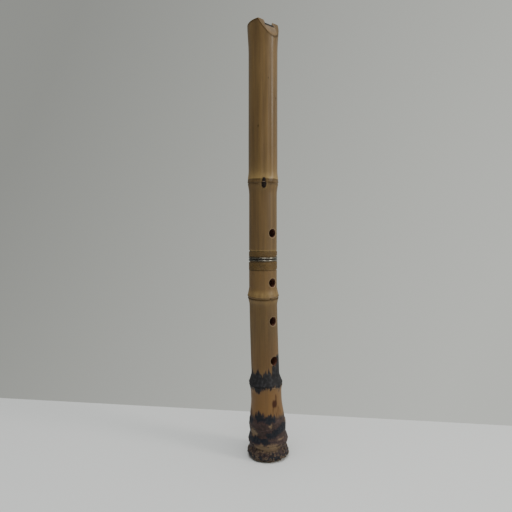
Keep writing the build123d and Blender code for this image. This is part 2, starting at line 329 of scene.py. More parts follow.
def root_relief(height, angle):
    """Give the lumps, wrinkles and close rings of the root end."""
    share = 1 - smooth_share(height, 30 * MM, 66 * MM)
    if share <= 0:
        return 0.0
    level = height / MM
    lumps = 0.55 * wander(angle, level, 1, 2.2, 0.09) + 0.35 * wander(angle, level, 2, 6.0, 0.22)
    rings = -0.7 * bell(level, 31.5 + 1.5 * wander(angle, 0, 3, 1.2), 1.3)
    rings -= 0.9 * bell(level, 14.0 + 1.0 * wander(angle, 0, 4, 1.4), 1.6)
    rings -= 0.5 * bell(level, 49.5 + 2.0 * wander(angle, 0, 5, 1.2), 1.2)
    rings += 0.4 * bell(level, 45.5 + 2.0 * wander(angle, 0, 5, 1.2), 1.8)
    return (share * lumps + rings) * MM


def oval_relief(canes, height, angle):
    """Give the slight ovalness and waviness of the cane."""
    level = height / MM
    return (0.12 * math.cos(2 * angle + 0.004 * level) + 0.14 * wander(angle, level, 6, 0.9, 0.012)) * MM


def hole_relief(canes, holes, height, angle, radius):
    """Give how far the skin drops at the rounded rims of the holes."""
    drop = 0.0
    for at_height, at_angle in holes:
        turn = turn_between(angle, at_angle)
        if abs(turn) > 1 or abs(height - at_height) > 2 * canes.hole_radius:
            continue
        away = math.hypot(radius * math.sin(turn), height - at_height) - canes.hole_radius
        if away < canes.hole_rounding:
            left = canes.hole_rounding - max(away, 0.0)
            drop = canes.hole_rounding - math.sqrt(canes.hole_rounding**2 - left**2)
    return -drop


def lathe(profile, steps):
    """Spin a closed profile of radius and height round the upright axis."""
    shape = bmesh.new()
    corners = [shape.verts.new((radius, 0.0, height)) for radius, height in profile]
    sides = [shape.edges.new(pair) for pair in zip(corners, corners[1:] + corners[:1])]
    bmesh.ops.spin(
        shape, geom=corners + sides, cent=(0, 0, 0), axis=(0, 0, 1), dvec=(0, 0, 0),
        angle=math.tau, steps=steps, use_merge=True,
    )
    bmesh.ops.recalc_face_normals(shape, faces=shape.faces)
    return shape


def place_on_axis(shape):
    """Move a round shape from the origin to the flute's straight axis."""
    bmesh.ops.translate(shape, verts=shape.verts, vec=(joint_x, joint_y, 0))


def mark_creases(shape, crease=math.radians(38)):
    """Shade smooth, apart from the edges that turn by more than the crease."""
    for face in shape.faces:
        face.smooth = True
    for edge in shape.edges:
        edge.smooth = len(edge.link_faces) == 2 and edge.calc_face_angle(0.0) < crease


def make_piece(name, shape, materials, body, replaced=()):
    """Turn a bmesh into a piece that rides on a body."""
    mesh = bpy.data.meshes.new(name)
    mark_creases(shape)
    shape.to_mesh(mesh)
    shape.free()
    for material in materials:
        mesh.materials.append(material)
    piece = bpy.data.objects.new(name, mesh)
    bpy.context.scene.collection.objects.link(piece)
    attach(piece, body)
    if replaced:
        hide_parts(*replaced)
    return piece


def boolean_cut(shape, cutter, materials):
    """Cut one bmesh with another and give the result as a new bmesh."""
    made = []
    for name, part in (("stock", shape), ("cutter", cutter)):
        mesh = bpy.data.meshes.new(name)
        part.to_mesh(mesh)
        part.free()
        for material in materials:
            mesh.materials.append(material)
        piece = bpy.data.objects.new(name, mesh)
        bpy.context.scene.collection.objects.link(piece)
        made.append(piece)
    stock, tool = made
    step = stock.modifiers.new("cut", "BOOLEAN")
    step.operation = "DIFFERENCE"
    step.solver = "MANIFOLD"
    step.object = tool
    result = bmesh.new()
    result.from_object(stock, bpy.context.evaluated_depsgraph_get())
    for piece in made:
        mesh = piece.data
        bpy.data.objects.remove(piece)
        bpy.data.meshes.remove(mesh)
    return result


def heights_between(low, high, fine_spots):
    """List heights from low to high, close together near the fine spots."""
    heights = [low]
    while heights[-1] < high - 0.3 * MM:
        here = heights[-1]
        step = 2.0 * MM
        for centre, reach, fine_step in fine_spots:
            if abs(here - centre) < reach:
                step = min(step, fine_step)
        heights.append(min(here + step, high))
    return heights


BLANK_TOP, SLANT_START, MOUTH_HEIGHT = 550 * MM, 530 * MM, 548.2 * MM


def slanted_height(canes, height, place_y):
    """Move a height of the straight blank to the slanted mouth, which is higher at the front."""
    if height <= SLANT_START:
        return height
    mouth = MOUTH_HEIGHT + (joint_y - place_y) * math.tan(canes.mouth_slope)
    return SLANT_START + (height - SLANT_START) * (mouth - SLANT_START) / (BLANK_TOP - SLANT_START)


def rounded_rim(radius, height, rounding, sign, steps=6):
    """Give the points of a rim's rounding, from its upright side to its top."""
    points = []
    for step in range(1, steps + 1):
        share = math.pi / 2 * step / steps
        points.append((
            radius - sign * rounding * (1 - math.cos(share)),
            height - rounding * (1 - math.sin(share)),
        ))
    return points


def cane_holes(names, angle=FRONT):
    """List the height and angle of each named hole."""
    return [(hole_height(name), angle) for name in names]


def round_cane(canes, shape, holes, skin_low, skin_high):
    """Give a lathed cane its natural surface and bend."""
    for at_height, at_angle in holes:
        near = []
        for edge in shape.edges:
            middle = (edge.verts[0].co + edge.verts[1].co) / 2
            if abs(middle.z - at_height) > 8 * MM:
                continue
            radius = math.hypot(middle.x, middle.y)
            if radius < plain_radius(canes, middle.z) - 0.2 * MM:
                continue
            turn = turn_between(math.atan2(middle.y, middle.x), at_angle)
            if abs(turn) < 1:
                away = math.hypot(radius * math.sin(turn), middle.z - at_height)
                if 4.2 * MM < away < 7.2 * MM:
                    near.append(edge)
        bmesh.ops.subdivide_edges(shape, edges=near, cuts=2, use_grid_fill=True)
    for vert in shape.verts:
        radius = math.hypot(vert.co.x, vert.co.y)
        angle = math.atan2(vert.co.y, vert.co.x)
        inset = plain_radius(canes, vert.co.z) - radius
        vert.co.z = slanted_height(canes, vert.co.z, joint_y + radius * math.sin(angle))
        height = vert.co.z
        if inset < 5.5 * MM and skin_low <= height <= skin_high:
            radius = plain_radius(canes, height) - inset + node_relief(height, angle)
            radius += groove_relief(canes, height, angle)
            radius += root_relief(height, angle) + oval_relief(canes, height, angle)
            radius += hole_relief(canes, holes, height, angle, radius)
            radius = min(radius, ROOT_REACH)
        centre_x, centre_y = cane_centre(canes, height)
        vert.co.x = centre_x + radius * math.cos(angle)
        vert.co.y = centre_y + radius * math.sin(angle)


def hole_cutters(canes, holes, material_index):
    """Make the cylinders that cut the holes, from inside the bore to beyond the skin."""
    cutters = bmesh.new()
    reach = 40 * MM
    for at_height, at_angle in holes:
        centre_x, centre_y = cane_centre(canes, at_height)
        made = bmesh.ops.create_cone(
            cutters, cap_ends=True, segments=96, radius1=canes.hole_radius,
            radius2=canes.hole_radius, depth=reach,
        )
        turn = Matrix.Rotation(at_angle, 4, "Z") @ Matrix.Rotation(math.pi / 2, 4, "Y")
        outward = Vector((math.cos(at_angle), math.sin(at_angle), 0))
        place = Vector((centre_x, centre_y, at_height)) + outward * reach / 2
        bmesh.ops.transform(cutters, verts=made["verts"], matrix=Matrix.Translation(place) @ turn)
    for face in cutters.faces:
        face.material_index = material_index
    return cutters


def degrees_from_view(angle):
    """Give how many degrees to the right of the photograph's side an angle is."""
    return math.degrees(turn_between(angle, VIEW_ANGLE))


def patch(turn, level, spot):
    """Give how deep inside an oval patch a place is, in millimetres, negative outside."""
    at_turn, at_level, half_turn, half_level = spot
    away = math.hypot((turn - at_turn) / half_turn, (level - at_level) / half_level)
    return (1 - away) * half_level


def node_char(turn, level, angle):
    """Give how deep inside the scorched band of the third node a place is."""
    top = 105.5 + 2.2 * wander(angle, 0, 11, 4.0)
    for at_turn, rise, half_turn in ((-64, 5, 7), (-29, 5, 8), (1, 8, 8), (15, 6, 6), (-98, 9, 12)):
        top += rise * max(0.0, 1 - abs(turn - at_turn) / half_turn)
    climb = 10 * smooth_share(turn, 26, 32) + 12 * smooth_share(turn, 44, 60)
    top += climb * (1 - smooth_share(turn, 105, 130))
    bottom = 88 + 1.5 * math.sin(math.radians(turn)) + 1.2 * wander(angle, 0, 12, 4.0)
    for at_turn, drop, half_turn in ((-31, 3.2, 20), (16, 2, 7), (54, 4, 9), (-80, 4, 10)):
        bottom -= drop * max(0.0, 1 - ((turn - at_turn) / half_turn) ** 2)
    return min(level - bottom, top - level)


CHAR_PATCHES = [
    (-26, 52.8, 15, 5.6), (3, 51.6, 22, 5.8), (8, 32.5, 16, 4.2), (24, 35.0, 16, 5.2),
    (39, 37.5, 16, 5.8), (56, 40.0, 20, 6.5), (-66, 47.0, 14, 5.0), (110, 50.0, 22, 8.0),
    (150, 44.0, 18, 6.0), (-120, 52.0, 20, 8.0), (-160, 33.0, 30, 6.0), (-84, 33.0, 12, 4.0),
]
TAN_PATCHES = [
    (-52, 33.2, 20, 6.3), (-2, 17.5, 46, 6.5), (9, 44.5, 8, 3.5), (50, 27.0, 22, 1.3),
    (-18, 4.5, 22, 2.4), (115, 17.0, 45, 5.0), (-130, 18.0, 35, 5.0), (75, 44.0, 10, 5.0),
    (-170, 46.0, 14, 6.0),
]
FLECKS = [(21, 474.7, 3.0, 1.5), (27, 199.5, 4.0, 1.6), (-20, 415.0, 2.5, 2.2), (60, 451.0, 3.0, 1.8),
          (150, 430.0, 3.0, 2.5), (-100, 498.0, 3.0, 2.0), (-140, 300.0, 4.0, 2.0), (120, 160.0, 3.5, 2.5)]
BLUSH_PATCHES = [
    (31, 69.4, 12, 6.0, 9.0), (37, 76.0, 5, 4.5, 0.4), (37, 59.5, 19, 8.0, 0.5),
    (-70, 57.0, 14, 5.0, 2.0), (100, 62.0, 18, 7.0, 2.0),
]


def root_char(turn, level, angle):
    """Give how deep inside the dark patches of the root a place is."""
    ridge = 3.6 - abs(level - 25.5 - 1.5 * wander(angle, 0, 14, 1.5))
    ridge -= 4.0 * smooth_share(turn, -8, 14) * (1 - smooth_share(turn, 80, 110))
    foot = 3.6 - abs(level - 5) + 5.0 * wander(angle, level, 15, 9.0, 0.35)
    return max([ridge, foot] + [patch(turn, level, spot) for spot in CHAR_PATCHES])


def skin_tones(canes, holes, height, angle, radius):
    """Give the pale, gold, scar, char, root, tan and blush values of a place on the skin; the scar value also
    holds painted shade, the pale value a painted highlight.
    """
    level, turn = height / MM, degrees_from_view(angle)
    tones = {}
    ring_a = level - 349.3 + 0.8 * wander(angle, 0, 21, 2.5)
    pale = 0.8 * math.exp(-ring_a / 9) if ring_a > 0 else 0.0
    ring_b = level - 201.5 + 1.5 * math.cos(turn_between(angle, BUD_ANGLE))
    spots = 0.65 + 0.5 * wander(angle, level, 22, 5.0, 0.12)
    pale = max(pale, 0.55 * spots * bell(ring_b, 4.5, 4.0) if ring_b > -1 else 0.0)
    pale = max(pale, 0.35 * spots * bell(ring_b, -5.5, 1.8))
    # Pale line along the top edge of the upper binding's recess: a painted highlight where the edge catches the
    # light, and paler cut skin.
    pale = max(pale, 0.55 * bell(level, 259.3, 0.8))
    away = math.hypot(turn_between(angle, BUD_ANGLE) * 19, (level - 344) / 1.9)
    pale = max(pale, 0.45 * (1 + wander(angle, level, 26, 9.0, 0.4)) * bell(away, 4.1, 0.7))
    tones["pale"] = pale
    tones["rim"] = 0.0
    for at_height, at_angle in holes:
        side = turn_between(angle, at_angle)
        if abs(side) < 1 and abs(height - at_height) < 9 * MM:
            gap = math.hypot(radius * math.sin(side), height - at_height) - canes.hole_radius
            tones["rim"] = max(tones["rim"], 0.7 * (1 - smooth_share(gap, 0.2 * MM, 1.5 * MM)))
    band = smooth_share(level, 340.0, 343.5) * (1 - smooth_share(level, 348.4, 349.4))
    scar = band * (0.42 + 0.25 * wander(angle, level, 23, 3.0, 0.3))
    scar = max(scar, 0.75 * bell(ring_b, -2.2, 0.9), 0.45 * bell(ring_b, 0.6, 0.5))
    scar = max(scar, 1.1 * bell(away, 0, 3.3), 0.6 * bell(level, 349.0, 0.4))
    # Darker along the edge of the bevel.
    mouth_gap = (edge_gap(canes, height, angle, radius) if level > 520 else 9.0)
    scar = max(scar, 0.62 * (1 - smooth_share(mouth_gap, 0.3, 1.5)))
    # Painted shade: just below the mouth's rim the skin is darker on the left side, away from the light.
    mouth = MOUTH_HEIGHT / MM - radius / MM * math.sin(angle) * math.tan(canes.mouth_slope)
    brown = (1 - smooth_share(mouth - level, 1.2, 5.0)) * (1 - smooth_share(turn, -8, 22))
    # Painted shade: from 106 to 196 mm the skin is darker on the side turned towards the camera.
    dim = smooth_share(level, 106, 116) * (1 - smooth_share(level, 184, 196)) * bell(turn, 12, 42)
    scar = max(scar, 0.62 * brown, 0.27 * dim)
    scar = max([scar] + [min(patch(turn, level, fleck), 0.8) for fleck in FLECKS])
    # The scar value holds real scars, node lines and flecks, the dark line along the bevel's edge, and painted
    # shade.
    tones["scar"] = scar
    gold = smooth_share(level, 50, 58) * (1 - smooth_share(level, 84, 92))
    gold = max(gold, 0.5 * smooth_share(level, 104, 112) * (1 - smooth_share(level, 118, 170)))
    flecks = smooth_share(wander(angle, level, 24, 6.0, 0.1), 0.25, 0.6)
    low, high = smooth_share(level, 203, 212), 1 - smooth_share(level, 232, 240)
    tones["gold"] = max(gold, (0.2 + 0.5 * flecks) * low * high)
    tones.update(char=-9.0, root=0.0, tan=-9.0, blush=-9.0)
    if level < 140:
        tones["char"] = max(node_char(turn, level, angle), root_char(turn, level, angle))
    if level < 90:
        tones["root"] = 1 - smooth_share(level, 50 + 3 * wander(angle, 0, 25, 5.0), 57)
        tones["tan"] = max(patch(turn, level, spot) for spot in TAN_PATCHES)
        tones["blush"] = max(min(patch(turn, level, spot[:4]), spot[4]) for spot in BLUSH_PATCHES)
    return tones


def edge_gap(canes, height, angle, radius):
    """Give the distance in millimetres from a place on the skin to the plane of the bevel."""
    reach = -radius * math.sin(angle) - (joint_y - inlay_high.y)
    drop = inlay_high.z - height
    return abs(reach * math.cos(canes.bevel_slope) - drop * math.sin(canes.bevel_slope)) / MM


TONES = ("pale", "rim", "gold", "scar", "char", "root", "tan", "blush")


def paint_cane(piece, canes, holes):
    """Store where the skin is pale, golden, dark, scorched or rooty, for the finish to read."""
    mesh = piece.data
    values = {name: [] for name in TONES}
    for vert in mesh.vertices:
        height = vert.co.z
        centre_x, centre_y = cane_centre(canes, height)
        across, along = vert.co.x - centre_x, vert.co.y - centre_y
        radius = math.hypot(across, along)
        if radius < canes.lower_radius - 1.5 * MM:
            tones = dict.fromkeys(TONES, 0.0)
        else:
            tones = skin_tones(canes, holes, height, math.atan2(along, across), radius)
        for name in TONES:
            values[name].append(tones[name])
    for name, numbers in values.items():
        layer = mesh.attributes.new(name, "FLOAT", "POINT")
        layer.data.foreach_set("value", numbers)


class FinishTree:
    """A material's node tree, with short ways to add and join its nodes."""

    def __init__(self, name):
        self.material = bpy.data.materials.new(name)
        self.material.use_nodes = True
        self.tree = self.material.node_tree
        self.shader = self.tree.nodes["Principled BSDF"]

    def put(self, socket, value):
        """Join a node's output to a socket, or set the socket to a plain value."""
        if isinstance(value, bpy.types.NodeSocket):
            self.tree.links.new(value, socket)
        else:
            socket.default_value = value

    def spots(self, stretch=(1, 1, 1)):
        """Give the piece's own coordinates, stretched."""
        place = self.tree.nodes.new("ShaderNodeTexCoord")
        mapping = self.tree.nodes.new("ShaderNodeMapping")
        mapping.inputs["Scale"].default_value = stretch
        self.tree.links.new(place.outputs["Object"], mapping.inputs["Vector"])
        return mapping.outputs["Vector"]

    def noise(self, scale, stretch=(1, 1, 1), detail=3.0, rough=0.55):
        """Give a noise with features of about one over scale metres."""
        node = self.tree.nodes.new("ShaderNodeTexNoise")
        node.inputs["Scale"].default_value = scale
        node.inputs["Detail"].default_value = detail
        node.inputs["Roughness"].default_value = rough
        self.tree.links.new(self.spots(stretch), node.inputs["Vector"])
        return node.outputs["Fac"]

    def reach(self):
        """Give the distance from the flute's straight axis."""
        across = self.tree.nodes.new("ShaderNodeVectorMath")
        across.operation = "SUBTRACT"
        self.tree.links.new(self.spots((1, 1, 0)), across.inputs[0])
        across.inputs[1].default_value = (joint_x, joint_y, 0)
        length = self.tree.nodes.new("ShaderNodeVectorMath")
        length.operation = "LENGTH"
        self.tree.links.new(across.outputs["Vector"], length.inputs[0])
        return length.outputs["Value"]

    def place(self, axis):
        """Give one of the piece's own coordinates."""
        parts = self.tree.nodes.new("ShaderNodeSeparateXYZ")
        self.tree.links.new(self.spots(), parts.inputs["Vector"])
        return parts.outputs[axis]

    def mouth_radius(self):
        """Give the radius of the head cane at its flare, which grows towards the mouth."""
        return self.spread(self.place("Z"), 508 * MM, 550 * MM, 18.35 * MM, 20.2 * MM)

    def toward(self, angle):
        """Give how far a place lies from the straight axis in the direction of an angle."""
        turned = self.tree.nodes.new("ShaderNodeVectorMath")
        turned.operation = "DOT_PRODUCT"
        self.tree.links.new(self.spots(), turned.inputs[0])
        turned.inputs[1].default_value = (math.cos(angle), math.sin(angle), 0)
        offset = joint_x * math.cos(angle) + joint_y * math.sin(angle)
        return self.math("SUBTRACT", turned.outputs["Value"], offset)

    def attribute(self, name):
        """Give a value that was stored on the mesh."""
        node = self.tree.nodes.new("ShaderNodeAttribute")
        node.attribute_name = name
        return node.outputs["Fac"]

    def math(self, kind, first, second=0.0):
        """Give a sum, product or the like of two values."""
        node = self.tree.nodes.new("ShaderNodeMath")
        node.operation = kind
        self.put(node.inputs[0], first)
        self.put(node.inputs[1], second)
        return node.outputs[0]

    def spread(self, value, low, high, out_low=0.0, out_high=1.0):
        """Map a value smoothly from one range to another."""
        node = self.tree.nodes.new("ShaderNodeMapRange")
        node.interpolation_type = "SMOOTHSTEP"
        self.put(node.inputs["Value"], value)
        node.inputs["From Min"].default_value = low
        node.inputs["From Max"].default_value = high
        node.inputs["To Min"].default_value = out_low
        node.inputs["To Max"].default_value = out_high
        return node.outputs["Result"]

    def blend(self, share, first, second):
        """Mix two colours."""
        node = self.tree.nodes.new("ShaderNodeMix")
        node.data_type = "RGBA"
        self.put(node.inputs["Factor"], share)
        for socket, colour in ((node.inputs[6], first), (node.inputs[7], second)):
            self.put(socket, colour if isinstance(colour, bpy.types.NodeSocket) else (*colour, 1))
        return node.outputs[2]

    def bump(self, height, distance, strength=1.0):
        """Roughen the surface by a height."""
        node = self.tree.nodes.new("ShaderNodeBump")
        node.inputs["Distance"].default_value = distance
        node.inputs["Strength"].default_value = strength
        self.put(node.inputs["Height"], height)
        self.tree.links.new(node.outputs["Normal"], self.shader.inputs["Normal"])


def scaled(colour, share):
    """Give a colour made lighter or darker."""
    return tuple(min(channel * share, 1.0) for channel in colour)


def finish_bamboo(colours):
    """Seasoned bamboo skin: fibre streaks, pale and golden zones, scars and scorching, with painted shade carried
    in the scar value and a painted highlight in the pale value.
    """
    tree = FinishTree("bamboo_skin")
    fibres = tree.noise(1400, (1, 1, 0.025), 3)
    streaks = tree.noise(260, (1, 1, 0.03), 4)
    patches = tree.noise(38, (1, 1, 0.25), 3)
    mottle = tree.noise(420, (1, 1, 0.5), 4, 0.65)
    colour = tree.blend(tree.spread(streaks, 0.3, 0.72), colours.shade, colours.skin)
    colour = tree.blend(tree.spread(patches, 0.35, 0.75, 0, 0.5), colour, scaled(colours.skin, 1.25))
    colour = tree.blend(tree.spread(fibres, 0.45, 0.75, 0, 0.35), colour, scaled(colours.shade, 0.7))
    colour = tree.blend(tree.spread(mottle, 0.55, 0.8, 0, 0.3), colour, scaled(colours.shade, 0.6))
    gold = tree.math("MULTIPLY", tree.attribute("gold"), tree.spread(streaks, 0.2, 0.7, 0.6, 1.0))
    colour = tree.blend(gold, colour, colours.gold)
    pale = tree.math("MULTIPLY", tree.attribute("pale"), tree.spread(streaks, 0.2, 0.7, 0.6, 1.0))
    colour = tree.blend(pale, colour, colours.pale)
    blush = tree.math("ADD", tree.attribute("blush"), tree.spread(streaks, 0.3, 0.7, -1.4, 1.4))
    colour = tree.blend(tree.spread(blush, -1.0, 3.0, 0, 0.95), colour, (0.046, 0.018, 0.011))
    colour = tree.blend(tree.attribute("rim"), colour, scaled(colours.cut, 0.8))
    # Scars and painted shade both darken the skin here, through the scar value.
    scar = tree.math("MULTIPLY", tree.attribute("scar"), tree.spread(mottle, 0.2, 0.7, 0.7, 1.0))
    colour = tree.blend(scar, colour, scaled(colours.shade, 0.22))
    jag = tree.spread(tree.noise(420, (1, 1, 0.02), 3), 0.25, 0.75, -3.0, 3.0)
    wrinkles = tree.noise(240, (1, 1, 1.5), 5, 0.7)
    pores = tree.noise(900, (1, 1, 0.45), 3, 0.6)
    root = tree.blend(
        tree.spread(wrinkles, 0.4, 0.65), scaled(colours.scorch, 0.6), scaled(colours.scorch, 1.5)
    )
    root = tree.blend(tree.spread(pores, 0.55, 0.7, 0, 0.8), root, scaled(colours.char, 0.8))
    colour = tree.blend(tree.math("MULTIPLY", tree.attribute("root"), 0.96), colour, root)
    tan = tree.math("ADD", tree.attribute("tan"), tree.spread(wrinkles, 0.3, 0.7, -1.4, 1.4))
    colour = tree.blend(tree.spread(tan, -0.5, 2.8, 0, 0.8), colour, (0.185, 0.125, 0.070))
    calm = tree.spread(tree.attribute("root"), 0.0, 1.0, 1.0, 0.55)
    level = tree.math("ADD", tree.attribute("char"), tree.math("MULTIPLY", jag, calm))
    level = tree.math("ADD", level, tree.spread(mottle, 0.3, 0.7, -1.0, 1.0))
    colour = tree.blend(tree.spread(level, -2.2, 0.6, 0, 0.8), colour, colours.scorch)
    ash = tree.noise(300, (1, 1, 0.7), 4)
    char = tree.blend(tree.spread(ash, 0.42, 0.75), colours.char, (0.040, 0.039, 0.042))
    blue = tree.math("MULTIPLY", tree.attribute("root"), tree.spread(wrinkles, 0.3, 0.6, 1.0, 0.3))
    char = tree.blend(blue, char, (0.010, 0.014, 0.024))
    colour = tree.blend(tree.spread(level, -0.3, 1.4), colour, char)
    tree.put(tree.shader.inputs["Base Color"], colour)
    matte = tree.math("MAXIMUM", tree.attribute("root"), tree.spread(level, -1.0, 1.0))
    matte = tree.math("MAXIMUM", matte, tree.spread(patches, 0.3, 0.7, 0.0, 0.35))
    rough = tree.math(
        "MAXIMUM", tree.spread(matte, 0.0, 1.0, 0.36, 0.6),
        tree.spread(tree.place("Z"), 338 * MM, 348 * MM, 0.47, 0.36),
    )
    tree.put(tree.shader.inputs["Roughness"], rough)
    dull = tree.math("MAXIMUM", tree.spread(blush, -1.0, 3.0), tree.spread(scar, 0.1, 0.7))
    gloss = tree.math(
        "MULTIPLY", tree.spread(level, -1.0, 1.0, 0.3, 0.13), tree.spread(dull, 0.0, 1.0, 1.0, 0.3)
    )
    tree.put(tree.shader.inputs["Specular IOR Level"], gloss)
    grain = tree.math("ADD", fibres, tree.math("MULTIPLY", streaks, 1.5))
    lumps = tree.math("MULTIPLY", tree.math("ADD", wrinkles, pores), tree.attribute("root"))
    tree.bump(tree.math("ADD", grain, tree.math("MULTIPLY", lumps, 8.0)), 0.06 * MM)
    return tree.material


def finish_cut_bamboo(colours):
    """Cut bamboo: pale inside, browner towards the skin, with the dark dots of its fibre bundles, and painted
    shade on the bevel away from its middle.
    """
    tree = FinishTree("bamboo_cut")
    bundles = tree.noise(1500, (1, 1, 0.12), 2)
    mottle = tree.noise(220, (1, 1, 0.4), 3)
    depth = tree.math("SUBTRACT", tree.mouth_radius(), tree.reach())
    colour = tree.blend(tree.spread(mottle, 0.3, 0.7), scaled(colours.cut, 0.4), scaled(colours.cut, 0.62))
    colour = tree.blend(tree.spread(bundles, 0.56, 0.7, 0, 0.5), colour, scaled(colours.cut, 0.3))
    colour = tree.blend(tree.spread(depth, 0.0, 5.0 * MM, 0.8, 0.0), colour, scaled(colours.skin, 1.05))
    colour = tree.blend(
        tree.spread(depth, 0.1 * MM, 1.0 * MM, 0.85, 0.0), colour, scaled(colours.shade, 0.35)
    )
    # Painted shade: the cut face darkens towards the skin's colour on both sides of the bevel, away from its
    # middle.
    aside = tree.math("ABSOLUTE", tree.math("SUBTRACT", tree.place("X"), joint_x))
    colour = tree.blend(
        tree.spread(aside, 7.4 * MM, 12.0 * MM, 0, 0.85), colour, scaled(colours.skin, 0.62)
    )
    tree.put(tree.shader.inputs["Base Color"], colour)
    tree.shader.inputs["Roughness"].default_value = 0.5
    tree.shader.inputs["Specular IOR Level"].default_value = 0.3
    tree.bump(bundles, 0.05 * MM)
    return tree.material


def finish_lacquer(colours):
    """Dark red lacquer, brushed on."""
    tree = FinishTree("bore_lacquer")
    cloud = tree.noise(160, (1, 1, 0.3), 3)
    colour = tree.blend(tree.spread(cloud, 0.3, 0.7), scaled(colours.lacquer, 0.6), colours.lacquer)
    tree.put(tree.shader.inputs["Base Color"], colour)
    tree.put(tree.shader.inputs["Roughness"], tree.spread(cloud, 0.3, 0.7, 0.28, 0.4))
    tree.bump(cloud, 0.08 * MM)
    return tree.material


def finish_rattan(colours):
    """Split rattan: long fibres along the strip, which runs round the cane, and painted shade in the grooves
    between turns.
    """
    tree = FinishTree("split_rattan")
    groove = tree.attribute("groove")
    fibres = tree.noise(900, (0.05, 0.05, 6.0), 2)
    length = tree.noise(120, (1, 1, 1), 3)
    colour = tree.blend(tree.spread(length, 0.3, 0.7), scaled(colours.rattan, 0.85), scaled(colours.rattan, 1.1))
    colour = tree.blend(tree.spread(fibres, 0.5, 0.75, 0, 0.3), colour, scaled(colours.rattan, 0.6))
    # Painted shade: the strip darkens as its rounded sides drop into the groove between turns.
    colour = tree.blend(tree.spread(groove, 0.2, 1.0, 0, 0.8), colour, scaled(colours.rattan, 0.25))
    tree.put(tree.shader.inputs["Base Color"], colour)
    tree.put(tree.shader.inputs["Roughness"], tree.spread(length, 0.3, 0.7, 0.45, 0.55))
    tree.shader.inputs["Specular IOR Level"].default_value = 0.25
    tree.bump(fibres, 0.02 * MM)
    return tree.material


def finish_silver(colours):
    """Worn silver, patchily tarnished, with a painted highlight: brighter and less tarnished on the side that
    faces the window light.
    """
    tree = FinishTree("ring_silver")
    tarnish = tree.noise(140, (1, 1, 1), 2)
    # Painted highlight: the side of the rings that faces the window light is painted as lighter silver.
    painted_highlight = tree.spread(tree.toward(VIEW_ANGLE + math.radians(36)), 13.5 * MM, 16.5 * MM)
    dark = tree.math("SUBTRACT", tree.spread(tarnish, 0.36, 0.62), painted_highlight)
    colour = tree.blend(tree.spread(dark, 0.0, 1.0, 0, 0.85), colours.silver, scaled(colours.silver, 0.45))
    colour = tree.blend(painted_highlight, colour, scaled(colours.silver, 1.7))
    tree.put(tree.shader.inputs["Base Color"], colour)
    tree.shader.inputs["Metallic"].default_value = 1.0
    tree.put(tree.shader.inputs["Roughness"], tree.spread(tarnish, 0.35, 0.7, 0.17, 0.28))
    return tree.material


def dull_silver(name, dark, light):
    """Give tarnished silver between two colours."""
    tree = FinishTree(name)
    tarnish = tree.noise(500, (1, 1, 1), 4)
    tree.put(tree.shader.inputs["Base Color"], tree.blend(tree.spread(tarnish, 0.35, 0.75), dark, light))
    tree.shader.inputs["Metallic"].default_value = 0.8
    tree.put(tree.shader.inputs["Roughness"], tree.spread(tarnish, 0.35, 0.7, 0.35, 0.55))
    return tree.material


def finish_tarnish_and_seam_shade(colours):
    """Blackened silver of the collars, down in the seam: tarnish, darkened also as painted shade of the seam."""
    return dull_silver("ring_tarnish", (0.050, 0.042, 0.035), (0.077, 0.070, 0.058))


def finish_band(colours):
    """Brown, waxed silver of the flat bands next to the windings."""
    return dull_silver("ring_band", (0.095, 0.074, 0.047), (0.150, 0.120, 0.078))


def finish_horn(colours):
    """Polished dark horn with faint brown streaks."""
    tree = FinishTree("dark_horn")
    streaks = tree.noise(500, (0.15, 1, 1), 3)
    colour = tree.blend(tree.spread(streaks, 0.5, 0.8), colours.horn, scaled(colours.horn, 2.4))
    tree.put(tree.shader.inputs["Base Color"], colour)
    tree.put(tree.shader.inputs["Roughness"], tree.spread(streaks, 0.3, 0.7, 0.4, 0.5))
    tree.shader.inputs["Specular IOR Level"].default_value = 0.12
    return tree.material


def finish_stub(colours):
    """Weathered wood of the cut root stubs."""
    tree = FinishTree("root_stub")
    grain = tree.noise(700, (1, 1, 1), 4)
    colour = tree.blend(tree.spread(grain, 0.35, 0.65), scaled(colours.scorch, 0.8), scaled(colours.cut, 0.58))
    tree.put(tree.shader.inputs["Base Color"], colour)
    tree.shader.inputs["Roughness"].default_value = 0.6
    tree.bump(grain, 0.15 * MM)
    return tree.material


def finish_pith(colours):
    """Black hollow pith of a cut root or bud."""
    tree = FinishTree("dark_pith")
    grain = tree.noise(900, (1, 1, 1), 3)
    colour = tree.blend(tree.spread(grain, 0.4, 0.7), (0.009, 0.007, 0.005), scaled(colours.scorch, 0.5))
    tree.put(tree.shader.inputs["Base Color"], colour)
    tree.shader.inputs["Roughness"].default_value = 0.7
    tree.shader.inputs["Specular IOR Level"].default_value = 0.12
    tree.bump(grain, 0.1 * MM)
    return tree.material


FINISHES = {
    "bamboo_skin": finish_bamboo,
    "bamboo_cut": finish_cut_bamboo,
    "bore_lacquer": finish_lacquer,
    "split_rattan": finish_rattan,
    "ring_silver": finish_silver,
    "ring_tarnish": finish_tarnish_and_seam_shade,
    "ring_band": finish_band,
    "dark_horn": finish_horn,
    "root_stub": finish_stub,
    "dark_pith": finish_pith,
}


def finish(context, name):
    """Give a finish by name, making it the first time."""
    found = bpy.data.materials.get(name)
    return found or FINISHES[name](context.scene.flute_colours)


def cane_materials(context):
    """List the finishes of a cane in the order of its face indices: skin, cut faces and lacquer."""
    return [finish(context, name) for name in ("bamboo_skin", "bamboo_cut", "bore_lacquer")]


SKIN_FACE, CUT_FACE, LACQUER_FACE = 0, 1, 2


